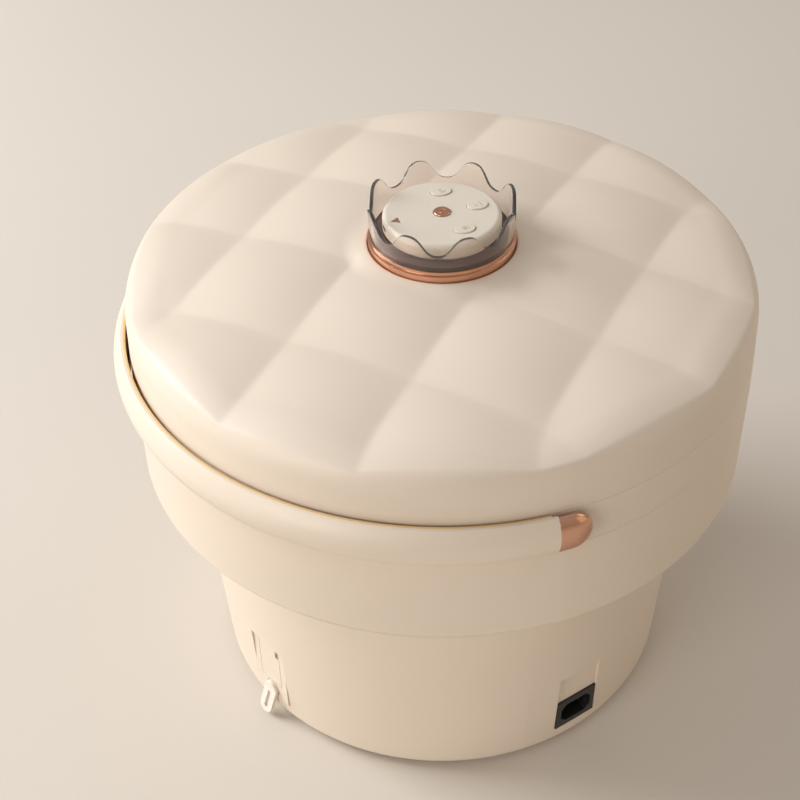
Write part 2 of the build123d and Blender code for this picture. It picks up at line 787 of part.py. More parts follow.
def dome_at(radius, drop=0.0):
    """Height of the lid's quilted dome, or of a face that lies below it by drop."""
    rise = dome_height - quilt_edge_height
    return dome_height - drop - rise * (radius / quilt_radius) ** 2


def lid_profile(drop):
    """The lid's top face and side, or its inside face a wall thickness in."""
    side = lid_radius - drop
    corner = quilt_edge_height - drop - dome_slope * (side - quilt_radius)
    Line((lid_foot_radius - drop, lid_bottom), (side, shoulder_height))
    Bezier((side, shoulder_height), (side, corner), (quilt_radius, quilt_edge_height - drop))
    ThreePointArc(
        (quilt_radius, quilt_edge_height - drop),
        (quilt_radius / 2, dome_at(quilt_radius / 2, drop)),
        (0, dome_height - drop),
    )


def make_lid():
    rise = dome_height - quilt_edge_height
    dome_radius = (quilt_radius**2 + rise**2) / (2 * rise)
    with BuildPart() as lid_shell:
        with BuildSketch(Plane.XZ):
            with BuildLine():
                lid_profile(0)
                Line((0, dome_height), (0, lid_bottom))
                Line((0, lid_bottom), (lid_foot_radius, lid_bottom))
            make_face()
        revolve(axis=Axis.Z)
        with BuildSketch(Plane.XZ):
            with BuildLine():
                lid_profile(lid_wall)
                Line((0, dome_height - lid_wall), (0, lid_bottom))
                Line((0, lid_bottom), (lid_foot_radius - lid_wall, lid_bottom))
            make_face()
        revolve(axis=Axis.Z, mode=Mode.SUBTRACT)
        rod(level(0, 0, ring_seat - dock_foot_depth), dock_boss_radius, dock_foot_depth)
        boss_length = dome_at(lid_boss_circle, lid_wall) - liner_height
        for boss in lid_bosses:
            rod(boss.offset(liner_thickness), lid_boss_radius, boss_length)
        for direction in (45, 135):
            for step in (-1.5, -0.5, 0.5, 1.5):
                quilt_valley(direction + lid_turn, step * quilt_pitch, dome_radius)
        rod(level(0, 0, ring_seat), ring_radius + seat_clearance, 10, Mode.SUBTRACT)
        rod(level(0, 0, ring_seat - dock_foot_depth), dock_foot_radius, 10, Mode.SUBTRACT)
        for boss in lid_bosses:
            rod(boss.offset(liner_thickness), screw_radius, 12, Mode.SUBTRACT)
    save(lid_shell, "lid_shell")


def quilt_valley(direction, offset, dome_radius):
    """Cut one straight V valley over the dome, at an offset from the lid's axis."""
    along = Vector(cos(radians(direction)), sin(radians(direction)), 0)
    across = Vector(-along.Y, along.X, 0)
    arc_radius = sqrt(dome_radius**2 - offset**2)
    centre = across * offset + Vector(0, 0, dome_height - dome_radius)
    plane = Plane(origin=centre, x_dir=across, z_dir=along)
    with BuildSketch(plane) as groove:
        with BuildLine():
            Polyline(
                (-quilt_half_width, arc_radius + 0.3),
                (0, arc_radius - quilt_depth),
                (quilt_half_width, arc_radius + 0.3),
                close=True,
            )
        make_face()
    run = sqrt((quilt_radius + 12) ** 2 - offset**2)
    sweep_half = run / arc_radius * 57.2958
    axis = Axis(centre, across)
    half = groove.sketch.rotate(axis, -sweep_half)
    revolve(half, axis=axis, revolution_arc=2 * sweep_half, mode=Mode.SUBTRACT)


def make_lid_inside():
    liner_radius = lid_radius - lid_wall - 0.3
    lip_radius = mouth_radius - lip_gap
    with BuildPart() as lid_liner:
        rod(level(0, 0, liner_height), liner_radius, liner_thickness)
        revolve(
            outline([
                (lip_radius - 3, liner_height - lip_depth),
                (lip_radius, liner_height - lip_depth),
                (lip_radius, liner_height),
                (lip_radius - 3, liner_height),
            ]),
            axis=Axis.Z,
        )
        for boss in lid_bosses:
            rod(boss, screw_radius, liner_thickness, Mode.SUBTRACT)
    save(lid_liner, "lid_liner")

    with BuildPart() as lid_seal:
        revolve(
            outline([
                (liner_radius - 4.5, rim_height + 0.3),
                (liner_radius - 1.0, rim_height + 0.3),
                (liner_radius - 0.2, liner_height),
                (liner_radius - 5.2, liner_height),
            ]),
            axis=Axis.Z,
        )
    save(lid_seal, "lid_seal")

    with BuildPart() as lid_screws:
        for boss in lid_bosses:
            rod(boss, screw_head_radius, -screw_head_height)
            rod(boss, screw_radius, liner_thickness + 9)
    save(lid_screws, "lid_screws")


def make_dock():
    with BuildPart() as dock_ring:
        revolve(
            outline([
                (ring_inner_radius, ring_seat),
                (ring_radius, ring_seat),
                (ring_radius, ring_step_height),
                (ring_radius - ring_step, ring_step_height + 0.4),
                (ring_radius - ring_step, ring_top),
                (crown_foot_radius + crown_clearance, ring_top),
                (crown_foot_radius + crown_clearance, crown_seat),
                (ring_inner_radius, crown_seat),
            ]),
            axis=Axis.Z,
        )
    save(dock_ring, "dock_ring")

    with BuildPart() as dock_seat:
        rod(level(0, 0, ring_seat - dock_foot_depth), dock_foot_radius - 0.2, dock_foot_depth)
        rod(level(0, 0, ring_seat), ring_inner_radius - 0.2, dock_top - ring_seat)
        rod(level(0, 0, dock_top), 9.2, -2.4, Mode.SUBTRACT)
    save(dock_seat, "dock_seat")

    with BuildPart() as dock_magnet:
        rod(level(0, 0, dock_top - 0.2), 9.2, -2.2)
    save(dock_magnet, "dock_magnet")

    foot_inner = crown_foot_radius - crown_wall
    valley_radius = (crown_peak - crown_valley) + 0.6
    with BuildPart() as crown:
        revolve(
            outline([
                (foot_inner, crown_seat),
                (crown_foot_radius, crown_seat),
                (crown_lip_radius, crown_peak),
                (crown_lip_radius - crown_wall, crown_peak),
            ]),
            axis=Axis.Z,
        )
        for i in range(crown_lobes):
            angle = lid_turn + 360 / crown_lobes * (i + 0.5)
            cut = side_plane(angle, 20, crown_valley + valley_radius)
            rod(cut, valley_radius, 40, Mode.SUBTRACT)
    save(crown, "crown")


# ---- remote control ---------------------------------------------------------------------
def on_remote(angle, radius, height):
    """A level plane on the remote, turned with the lid and facing up."""
    turned = radians(angle + lid_turn)
    return level(radius * cos(turned), radius * sin(turned), height)


def button_shape(angle, grow, height):
    """An oval on the remote's face; all three lie the same way, towards the middle key."""
    place = on_remote(angle, button_circle, height)
    with BuildSketch(place.rotated((0, 0, 90 + lid_turn))) as oval:
        Ellipse(button_length / 2 + grow, button_width / 2 + grow)
    return oval.sketch


def make_remote():
    bottom = dock_top + dock_gap
    middle = remote_split_height
    top = remote_top_height
    inner = remote_radius - remote_wall
    with BuildPart() as remote_base:
        with BuildSketch(Plane.XZ):
            with BuildLine():
                Polyline((0, bottom), (remote_flat_radius, bottom), (remote_radius, bottom + 3))
                Polyline((remote_radius, bottom + 3), (remote_radius, middle), (inner, middle))
                Polyline((inner, middle), (inner, bottom + 2), (0, bottom + 2), (0, bottom))
            make_face()
        revolve(axis=Axis.Z)
        rod(level(0, 0, bottom + 2), 14.0, 3.6)
        rod(level(0, 0, bottom + 2), 10.2, 3.6, Mode.SUBTRACT)
    save(remote_base, "remote_base")

    with BuildPart() as remote_top:
        with BuildSketch(Plane.XZ):
            with BuildLine():
                Line((remote_radius, middle), (remote_radius, top - 3))
                JernArc((remote_radius, top - 3), (0, 1), 3, 90)
                Polyline((remote_flat_radius, top), (0, top), (0, top - remote_wall))
                Polyline((0, top - remote_wall), (inner, top - remote_wall), (inner, middle))
                Line((inner, middle), (remote_radius, middle))
            make_face()
        revolve(axis=Axis.Z)
        rod(level(0, 0, top), power_radius + button_gap, -remote_wall, Mode.SUBTRACT)
        for angle in button_angles:
            extrude(button_shape(angle, button_gap, top), amount=-remote_wall, mode=Mode.SUBTRACT)
        with BuildSketch(on_remote(-90, 28.8, top)) as mark:
            RegularPolygon(mark_radius, 3, rotation=-90 + lid_turn)
        extrude(mark.sketch, amount=-0.6, mode=Mode.SUBTRACT)
        window = side_plane(-93 + lid_turn, remote_radius - 1.2, top - 5.1)
        slab(window, 6.0, 2.6, 3, Mode.SUBTRACT)
    save(remote_top, "remote_top")

    with BuildPart() as remote_mark:
        extrude(mark.sketch, amount=-0.6)
    save(remote_mark, "remote_mark")

    with BuildPart() as remote_window:
        slab(window, 6.0, 2.6, 1.1)
    save(remote_window, "remote_window")

    with BuildPart() as remote_board:
        rod(level(0, 0, board_height), board_radius, -board_thickness)
        for angle in (45, 135, 225, 315):
            post = on_remote(angle, board_radius - 4, board_height - board_thickness)
            rod(post, 2.0, bottom + 2 - board_height + board_thickness)
    save(remote_board, "remote_board")

    with BuildPart() as remote_cell:
        rod(level(0, 0, bottom + 2), 10.0, 3.2)
    save(remote_cell, "remote_cell")

    stem_bottom = board_height + button_travel + 0.5
    flange_top = top - remote_wall - 0.2
    with BuildPart() as power_button:
        rod(level(0, 0, stem_bottom + 1.6), power_radius, top + button_proud - stem_bottom - 1.6)
        fillet(power_button.faces().sort_by(Axis.Z)[-1].edges(), 0.5)
        rod(level(0, 0, flange_top), power_radius + 1.2, -1.0)
        rod(level(0, 0, stem_bottom + 1.6), 1.6, -1.6)
    save(power_button, "power_button")

    for name, angle in zip(("button_front", "button_middle", "button_back"), button_angles):
        with BuildPart() as button:
            extrude(button_shape(angle, 0, flange_top - 1.0), amount=top + button_proud - flange_top + 1.0)
            fillet(button.faces().sort_by(Axis.Z)[-1].edges(), 0.5)
            extrude(button_shape(angle, 1.2, flange_top), amount=-1.0)
            rod(on_remote(angle, button_circle, flange_top - 1.0), 1.6, stem_bottom - flange_top + 1.0)
        save(button, name)


def main():
    make_lower_casing()
    make_upper_casing()
    make_base()
    make_inner_tub()
    make_tub_fittings()
    make_rollers()
    make_water_circuit()
    make_air_and_electronics()
    make_mains_inlet()
    make_drain()
    make_handle()
    make_lid()
    make_lid_inside()
    make_dock()
    make_remote()


main()
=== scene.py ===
"""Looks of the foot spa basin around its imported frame: lid, crown, caps, signs, finishes and light.

Lengths are in millimetres until a mesh is made.
Arrays named angle are in radians; named sizes that are angles are in degrees.
"""

import json
import math

import bmesh
import bpy
import numpy as np
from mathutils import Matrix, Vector


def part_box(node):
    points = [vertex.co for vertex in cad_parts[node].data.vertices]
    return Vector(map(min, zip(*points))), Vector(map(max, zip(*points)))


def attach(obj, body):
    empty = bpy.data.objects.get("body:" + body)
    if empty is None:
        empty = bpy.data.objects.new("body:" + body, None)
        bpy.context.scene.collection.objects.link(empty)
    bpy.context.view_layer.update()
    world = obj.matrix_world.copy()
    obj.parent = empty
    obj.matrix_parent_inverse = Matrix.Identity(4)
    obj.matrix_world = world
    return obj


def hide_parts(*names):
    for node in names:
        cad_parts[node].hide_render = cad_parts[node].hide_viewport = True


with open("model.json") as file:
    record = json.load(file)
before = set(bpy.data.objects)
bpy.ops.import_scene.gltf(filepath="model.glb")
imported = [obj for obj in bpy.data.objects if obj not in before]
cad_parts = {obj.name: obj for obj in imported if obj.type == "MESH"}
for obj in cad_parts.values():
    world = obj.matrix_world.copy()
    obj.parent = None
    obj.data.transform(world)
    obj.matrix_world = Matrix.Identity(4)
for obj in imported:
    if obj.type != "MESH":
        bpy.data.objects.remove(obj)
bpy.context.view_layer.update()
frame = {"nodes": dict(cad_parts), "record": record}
nodes = frame["nodes"]
MM = 0.001

# ---- sizes that repeat the CAD's ---------------------------------------------------------
LID_TURN = -1.5
QUILT_AXES = (45.0 + LID_TURN, 135.0 + LID_TURN)
QUILT_PITCH = 78.5
VALLEYS = (-1.5, -0.5, 0.5, 1.5)      # valley lines each way, in pitches from the axis
CREASE_RADIUS = 190.5                 # where the quilted top ends
SIDE_RADIUS = 194.15                  # the lid's side, at its upper end
SIDE_TOP = 287.0
RING_RADIUS, RING_GAP = 45.2, 0.6
RING_SEAT = 313.4
SOCKET_RADIUS, SOCKET_DEPTH = 36.0, 8.0
LID_WALL = 5.0
CROWN_LOBES = 8
CROWN_WALL = 2.2
CROWN_FLARE = 2.4
LOBE_DEPTH = 12.0
PIVOT_HEIGHT = 256.2
BAND_INNER = 198.2
BAND_HALF = 13.4                      # half the handle band's height
CAP_HALF = 12.7                       # half a cap's height, and the radius of its round end
CAP_BACK = 8.2                        # from the pivot back to the band
PIN_RADIUS, PIN_DEPTH = 4.05, 3.5     # pocket for the pivot pin, with a little room


# ---- mesh helpers ------------------------------------------------------------------------
def mesh_object(name, verts, faces, material, body, slot, smooth=True):
    """A mesh piece from points in millimetres, riding on a body."""
    mesh = bpy.data.meshes.new(name)
    mesh.from_pydata([tuple(c * MM for c in v) for v in verts], [], faces)
    mesh.validate()
    work = bmesh.new()
    work.from_mesh(mesh)
    bmesh.ops.recalc_face_normals(work, faces=work.faces)
    work.to_mesh(mesh)
    work.free()
    if smooth:
        mesh.shade_smooth()
    piece = bpy.data.objects.new(name, mesh)
    bpy.context.scene.collection.objects.link(piece)
    piece.data.materials.append(material)
    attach(piece, body)
    return piece


def ring_grid(rings, closed=True):
    """Points and faces through rings; closed joins the last ring to the first, else ends are capped."""
    count = len(rings[0])
    verts = [tuple(point) for ring in rings for point in ring]
    faces = []
    for i in range(len(rings) if closed else len(rings) - 1):
        a, b = i * count, (i + 1) % len(rings) * count
        for j in range(count):
            k = (j + 1) % count
            faces.append((a + j, a + k, b + k, b + j))
    if not closed:
        faces.append(tuple(range(count)))
        faces.append(tuple(range(len(verts) - count, len(verts))))
    return verts, faces


def polar(radius, angle, height):
    """A ring of points; radius and height are arrays or single values."""
    radius = np.broadcast_to(radius, angle.shape)
    height = np.broadcast_to(height, angle.shape)
    return np.stack([radius * np.cos(angle), radius * np.sin(angle), height], axis=1)


def full_circle(steps):
    return np.linspace(0, 2 * math.pi, steps, endpoint=False)


def smooth_step(value):
    value = np.clip(value, 0, 1)
    return value * value * (3 - 2 * value)


# ---- material helpers --------------------------------------------------------------------
def new_material(name):
    material = bpy.data.materials.new(name)
    material.use_nodes = True
    tree = material.node_tree
    shader = tree.nodes["Principled BSDF"]
    return material, tree, shader


def noise(tree, scale, detail=2.0, stretch=None):
    """A noise texture in the object's own metres."""
    where = tree.nodes.new("ShaderNodeTexCoord")
    node = tree.nodes.new("ShaderNodeTexNoise")
    node.inputs["Scale"].default_value = scale
    node.inputs["Detail"].default_value = detail
    place = where.outputs["Object"]
    if stretch:
        mapping = tree.nodes.new("ShaderNodeMapping")
        mapping.inputs["Scale"].default_value = stretch
        tree.links.new(place, mapping.inputs["Vector"])
        place = mapping.outputs["Vector"]
    tree.links.new(place, node.inputs["Vector"])
    return node.outputs["Fac"]


def spread(tree, value, low, high):
    """Map a noise of about 0.3 to 0.7 to a range."""
    node = tree.nodes.new("ShaderNodeMapRange")
    node.inputs["From Min"].default_value = 0.3
    node.inputs["From Max"].default_value = 0.7
    node.inputs["To Min"].default_value = low
    node.inputs["To Max"].default_value = high
    tree.links.new(value, node.inputs["Value"])
    return node.outputs["Result"]


def vary_colour(tree, shader, colours, scale, stretch=None):
    """Base colour drifting between two close colours."""
    mix = tree.nodes.new("ShaderNodeMix")
    mix.data_type = "RGBA"
    mix.inputs["A"].default_value = (*colours[0], 1)
    mix.inputs["B"].default_value = (*colours[1], 1)
    tree.links.new(spread(tree, noise(tree, scale, stretch=stretch), 0, 1), mix.inputs["Factor"])
    tree.links.new(mix.outputs["Result"], shader.inputs["Base Color"])


def vary_roughness(tree, shader, scale, detail, low, high, stretch=None):
    uneven = spread(tree, noise(tree, scale, detail, stretch), low, high)
    tree.links.new(uneven, shader.inputs["Roughness"])


def add_grain(tree, shader, scale, depth, stretch=None):
    """Fine surface grain of a given depth in metres."""
    bump = tree.nodes.new("ShaderNodeBump")
    bump.inputs["Strength"].default_value = 1.0
    bump.inputs["Distance"].default_value = depth
    tree.links.new(noise(tree, scale, 3.0, stretch), bump.inputs["Height"])
    tree.links.new(bump.outputs["Normal"], shader.inputs["Normal"])


def moulded(name, colours, rough, grain=(1500.0, 0.00004), coat=0.0, depth=0.0):
    """Moulded plastic or rubber: faint colour drift, uneven sheen and a fine grain; depth lets light in."""
    material, tree, shader = new_material(name)
    vary_colour(tree, shader, colours, 7.0)
    vary_roughness(tree, shader, 35.0, 3.0, rough - 0.04, rough + 0.04)
    shader.inputs["IOR"].default_value = 1.48
    shader.inputs["Coat Weight"].default_value = coat
    shader.inputs["Coat Roughness"].default_value = 0.25
    if depth:
        shader.inputs["Subsurface Weight"].default_value = depth
        shader.inputs["Subsurface Radius"].default_value = (0.006, 0.0035, 0.002)
        shader.inputs["Subsurface Scale"].default_value = 0.5
    add_grain(tree, shader, *grain)
    return material


def metal(name, colours, rough, stretch=None):
    """Plated or bare metal with a faint haze; stretch draws the grain out one way."""
    material, tree, shader = new_material(name)
    shader.inputs["Metallic"].default_value = 1.0
    vary_colour(tree, shader, colours, 30.0, stretch)
    vary_roughness(tree, shader, 120.0, 3.0, rough - 0.05, rough + 0.05, stretch)
    add_grain(tree, shader, 900.0, 0.00002, stretch)
    return material


def clear(name, tint, ior, clarity):
    """Clear plastic; the share that is not clear is a pale haze."""
    material, tree, shader = new_material(name)
    vary_colour(tree, shader, tint, 20.0)
    vary_roughness(tree, shader, 60.0, 2.0, 0.0, 0.04)
    shader.inputs["Transmission Weight"].default_value = clarity
    shader.inputs["IOR"].default_value = ior
    return material


def circuit_board(name):
    """Green solder mask with lighter tracks."""
    material, tree, shader = new_material(name)
    where = tree.nodes.new("ShaderNodeTexCoord")
    brick = tree.nodes.new("ShaderNodeTexBrick")
    brick.inputs["Scale"].default_value = 160.0
    brick.inputs["Mortar Size"].default_value = 0.03
    brick.inputs["Color1"].default_value = (0.02, 0.11, 0.05, 1)
    brick.inputs["Color2"].default_value = (0.025, 0.13, 0.06, 1)
    brick.inputs["Mortar"].default_value = (0.08, 0.24, 0.12, 1)
    tree.links.new(where.outputs["Object"], brick.inputs["Vector"])
    tree.links.new(brick.outputs["Color"], shader.inputs["Base Color"])
    shader.inputs["Roughness"].default_value = 0.35
    return material


# ---- finishes: two close colours each ----------------------------------------------------
CREAM = ((0.765, 0.658, 0.548), (0.785, 0.676, 0.566))
PUCK = ((0.745, 0.665, 0.565), (0.765, 0.685, 0.585))
ROSE = ((0.72, 0.40, 0.27), (0.78, 0.45, 0.31))
ACRYLIC = ((0.94, 0.88, 0.85), (0.97, 0.91, 0.88))
# dark mauve for the dock seat: painted shade, standing in for the shadow under the puck seen through the
# crown
SHADE_MAUVE = ((0.115, 0.062, 0.055), (0.14, 0.078, 0.07))
NIGHT = ((0.02, 0.01, 0.012), (0.03, 0.014, 0.018))
RUBBER = ((0.055, 0.052, 0.05), (0.075, 0.07, 0.066))
SILICONE = ((0.70, 0.66, 0.60), (0.74, 0.70, 0.64))
MILKY = ((0.80, 0.74, 0.65), (0.84, 0.78, 0.70))
BLACK = ((0.012, 0.011, 0.012), (0.018, 0.016, 0.017))
GREY = ((0.30, 0.30, 0.31), (0.34, 0.34, 0.35))
STEEL = ((0.60, 0.60, 0.61), (0.68, 0.68, 0.69))
BRASS = ((0.74, 0.56, 0.25), (0.80, 0.62, 0.30))
ROLLER = ((0.66, 0.47, 0.38), (0.70, 0.50, 0.41))
# warm ochre for the handle strip: painted bounce light, standing in for the golden shade in the gap beside
# the lid
BOUNCE_OCHRE = ((0.70, 0.47, 0.20), (0.74, 0.51, 0.23))
STONE = ((0.66, 0.60, 0.53), (0.68, 0.62, 0.55))

finishes = {
    "casing": moulded("casing_cream", CREAM, 0.42),
    "tub": moulded("tub_cream", CREAM, 0.38),
    "lid": moulded("lid_cream", CREAM, 0.46, grain=(1300.0, 0.00005)),
    "handle": moulded("handle_cream", CREAM, 0.40),
    "rose_metal": metal("rose_gold", ROSE, 0.20),
    "clear_crown": clear("clear_acrylic", ACRYLIC, ior=1.32, clarity=0.955),
    # the dock seat's dark colour is painted shade under the puck
    "dock_dark": moulded("dock_painted_shade", SHADE_MAUVE, 0.22, coat=0.3),
    "remote_shell": moulded("remote_cream", PUCK, 0.36),
    "window": moulded("window_dark", NIGHT, 0.12),
    "rubber": moulded("rubber_grey", RUBBER, 0.72, grain=(700.0, 0.0001)),
    "seal": moulded("seal_silicone", SILICONE, 0.55),
    "soft_clear": moulded("drain_soft", MILKY, 0.30, depth=0.25),
    "black_plastic": moulded("inlet_black", BLACK, 0.38, grain=(900.0, 0.00006)),
    "grey_plastic": moulded("works_grey", GREY, 0.5),
    "steel": metal("steel", STEEL, 0.30, stretch=(1, 1, 12)),
    "brass": metal("brass", BRASS, 0.26),
    "board": circuit_board("board_green"),
    "roller": moulded("roller_rose", ROLLER, 0.35),
}


def dress_nodes():
    """Give every CAD node the finish of its slot, and soften the drain loop's edges."""
    for entry in frame["record"]["subparts"]:
        mesh = nodes[entry["node"]].data
        mesh.materials.clear()
        mesh.materials.append(finishes[entry["material_slot"]])
    soft = nodes["drain_plug"].modifiers.new("soft_edges", "BEVEL")
    soft.width = 0.8 * MM
    soft.segments = 3
    soft.limit_method = "ANGLE"
    soft.angle_limit = math.radians(40)


# ---- quilted lid -------------------------------------------------------------------------
LID_STEPS = 720
LID_LOWERED = 0.22          # the edge sits this much closer to the rim, so the gap is a hairline
PILLOW_RISES = (1.5, 2.2)   # how far a pillow stands above the valleys, for each lattice direction
PILLOW_CROWN = 1.4          # more rise where both directions are at their fullest
PILLOW_LEVEL = 1.2          # a pillow is at its fullest this far before its middle
VALLEY_SOFTNESS = 1.8       # rounding of the valley's bottom
EDGE_HEIGHT, DOME_RISE, DOME_RADIUS = 298.5, 16.6, 195.0
PAD_RADIUS, PAD_EASE, PAD_HEIGHT = 45.0, 16.0, 317.9
EDGE_VALLEYS = 0.75         # share of the valleys' depth left at the crease
EDGE_FADE = 22.0            # width over which they lose the rest
EDGE_EASE, EDGE_DROP = 18.0, 2.4
WARP_START = 160.0          # outside this radius the lattice is stretched outwards
WARP_AT_CREASE, WARP_POWER, WARP_LIMIT = 0.068, 1.5, 1.3
VALLEY_ENDS = (12.7, 41.4)  # where valleys meet the crease, each side of a valley's direction
SCALLOP = 0.65              # 0 is a round crease, 1 runs straight from one valley's end to the next
CREASE_BLUR = 7             # steps of smoothing each side, where two straights meet
SHOULDER_OUT, SHOULDER_DOWN = 0.55, 0.26  # how the shoulder leaves the top, in its own widths
OPENING_EASE = 0.3
INNER_EDGE = 53.2           # where the underside meets the dock's foot


def base_height(radius):
    return EDGE_HEIGHT + DOME_RISE * (1 - (radius / DOME_RADIUS) ** 2)


def pillow(across):
    """0 in a valley, 1 in the middle of a pillow, from the distance across one lattice direction."""
    distance = np.min([np.abs(across - step * QUILT_PITCH) for step in VALLEYS], axis=0)
    distance = np.sqrt(distance**2 + VALLEY_SOFTNESS**2) - VALLEY_SOFTNESS
    share = np.clip(distance / (QUILT_PITCH / 2 - PILLOW_LEVEL), 0, 1)
    return 1 - (1 - share) ** 2


def quilt_height(radius, angle, crease=CREASE_RADIUS):
    """The lid's top: a dome, two families of valleys, a level pad under the dock and an eased edge."""
    radius = np.broadcast_to(radius, angle.shape)
    over = np.clip((radius - WARP_START) / (CREASE_RADIUS - WARP_START), 0, WARP_LIMIT)
    scale = radius / (1 + WARP_AT_CREASE * over**WARP_POWER)
    fade = 1 - (1 - EDGE_VALLEYS) * smooth_step((radius - crease + EDGE_FADE) / EDGE_FADE)
    both = (pillow(scale * np.sin(angle - math.radians(axis))) for axis in QUILT_AXES)
    u, v = (1 - (1 - share) * fade for share in both)
    quilted = base_height(radius) + PILLOW_RISES[0] * u + PILLOW_RISES[1] * v + PILLOW_CROWN * u * v
    pad = 1 - smooth_step((radius - PAD_RADIUS) / PAD_EASE)
    ease = np.clip((radius - crease + EDGE_EASE) / EDGE_EASE, 0, None)
    return quilted * (1 - pad) + PAD_HEIGHT * pad - EDGE_DROP * ease**2


def crease_radius(angle):
    """The top's scalloped edge: nearly straight from one valley's end to the next."""
    ends = sorted(
        (axis + side * step) % 360
        for axis in (QUILT_AXES[0] + 90 * i for i in range(4))
        for side in (-1, 1)
        for step in VALLEY_ENDS
    )
    degrees = np.degrees(angle) % 360
    result = np.zeros_like(degrees)
    for start, end in zip(ends, ends[1:] + [ends[0] + 360]):
        middle, half = (start + end) / 2, (end - start) / 2
        away = (degrees - middle + 180) % 360 - 180
        inside = np.abs(away) <= half + 1e-6
        chord = math.cos(math.radians(half)) / np.cos(np.radians(away[inside]))
        result[inside] = CREASE_RADIUS * (1 - SCALLOP + SCALLOP * chord)
    window = np.hanning(2 * CREASE_BLUR + 1)
    padded = np.concatenate([result[-CREASE_BLUR:], result, result[:CREASE_BLUR]])
    return np.convolve(padded, window / window.sum(), mode="valid")


def shoulder_rings(angle, crease, top):
    """From the crease over the rounded shoulder to the upright side."""
    reach = SIDE_RADIUS - crease
    for t in np.linspace(0, 1, 15)[1:]:
        a, b, c, d = (1 - t) ** 3, 3 * t * (1 - t) ** 2, 3 * t * t * (1 - t), t**3
        radius = a * crease + b * (crease + SHOULDER_OUT * reach) + (c + d) * SIDE_RADIUS
        height = a * top + b * (top - SHOULDER_DOWN * reach) + c * (SIDE_TOP + top) / 2 + d * SIDE_TOP
        yield polar(radius, angle, height)


def make_lid():
    low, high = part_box("lid_shell")
    foot, foot_radius = low.z / MM - LID_LOWERED, high.x / MM
    inside = foot_radius - LID_WALL
    opening = RING_RADIUS + RING_GAP
    start = opening + OPENING_EASE
    angle = full_circle(LID_STEPS)
    crease = crease_radius(angle)
    top = quilt_height(crease, angle, crease)
    rings = [
        polar(SOCKET_RADIUS, angle, RING_SEAT - SOCKET_DEPTH),
        polar(SOCKET_RADIUS, angle, RING_SEAT),
        polar(opening, angle, RING_SEAT),
        polar(opening, angle, quilt_height(opening, angle) - OPENING_EASE),
        polar(start, angle, quilt_height(start, angle)),
    ]
    for share in np.linspace(0, 1, 105)[1:]:
        radius = start + (crease - start) * share
        rings.append(polar(radius, angle, quilt_height(radius, angle, crease)))
    rings.extend(shoulder_rings(angle, crease, top))
    for share in (0.35, 0.7, 0.97):
        radius = SIDE_RADIUS + (foot_radius - SIDE_RADIUS) * share
        rings.append(polar(radius, angle, SIDE_TOP + (foot - SIDE_TOP) * share))
    underside = [
        (foot_radius - 0.03, foot + 0.05),
        (foot_radius - 0.2, foot),
        (inside, foot),
        (inside - 0.6, SIDE_TOP - 6),
        (inside - 3.5, SIDE_TOP + 2.5),
    ]
    underside += [(r, base_height(r) - LID_WALL - 1) for r in np.linspace(182, INNER_EDGE, 24)]
    underside += [(INNER_EDGE, RING_SEAT - SOCKET_DEPTH)]
    rings += [polar(radius, angle, height) for radius, height in underside]
    lid = mesh_object("quilted_lid", *ring_grid(rings), finishes["lid"], "lid", "lid")
    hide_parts("lid_shell")


# ---- crown -------------------------------------------------------------------------------
LOBE_STEPS = 36
CROWN_FULLNESS = 1.1       # near 0 is a plain sine wave; more makes peaks and valleys rounder and wider
CROWN_EASE = 0.45          # rounding of its edges


def make_crown():
    low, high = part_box("crown")
    foot, peak = low.z / MM, high.z / MM
    foot_radius = high.x / MM - CROWN_FLARE
    valley = peak - LOBE_DEPTH
    angle = full_circle(CROWN_LOBES * LOBE_STEPS)
    wave = np.cos(CROWN_LOBES * (angle - math.radians(LID_TURN)))
    wave = np.tanh(CROWN_FULLNESS * wave) / math.tanh(CROWN_FULLNESS)
    rim = (peak + valley) / 2 + (peak - valley) / 2 * wave

    def outside(height):
        return foot_radius + CROWN_FLARE * (height - foot) / (peak - foot)

    def wall(shares, inset):
        for share in shares:
            height = foot + CROWN_EASE + (rim - 2 * CROWN_EASE - foot) * share
            yield polar(outside(height) - inset, angle, height)

    def rounded(turns, inset, side):
        """The rim's rounded edge: side is 1 on the outside, -1 on the inside."""
        for turn in np.radians(turns):
            radius = outside(rim) - inset - side * CROWN_EASE * (1 - math.cos(turn))
            yield polar(radius, angle, rim - CROWN_EASE + CROWN_EASE * math.sin(turn))

    rings = [polar(foot_radius - CROWN_EASE, angle, foot), polar(foot_radius, angle, foot + CROWN_EASE)]
    rings.extend(wall(np.linspace(0, 1, 9)[1:], 0))
    rings.extend(rounded((30, 60, 90), 0, 1))
    rings.extend(rounded((90, 60, 30, 0), CROWN_WALL, -1))
    rings.extend(wall(np.linspace(1, 0, 9)[1:], CROWN_WALL))
    rings.append(polar(foot_radius - CROWN_WALL + CROWN_EASE, angle, foot))
    crown = mesh_object("wavy_crown", *ring_grid(rings), finishes["clear_crown"], "lid", "clear_crown")
    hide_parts("crown")


# ---- handle caps and a strip of painted bounce light -------------------------------------
CAP_STEPS = 96
CAP_EDGE, CAP_DOME = 0.9, 5.7  # thickness at the edge, and how much more in the middle
CAP_MIDDLE = BAND_INNER + 3    # radius at which lengths along the cap are true
# the strip these sizes shape paints bounce light into the gap between the handle band and the lid
BOUNCE_STRIP_THICKNESS, BOUNCE_STRIP_PROUD = 1.3, 0.1
BOUNCE_STRIP_GAP, BOUNCE_STRIP_EASE = 0.02, 0.1
BOUNCE_STRIP_END = 3.3               # degrees from a pivot to the painted strip's end
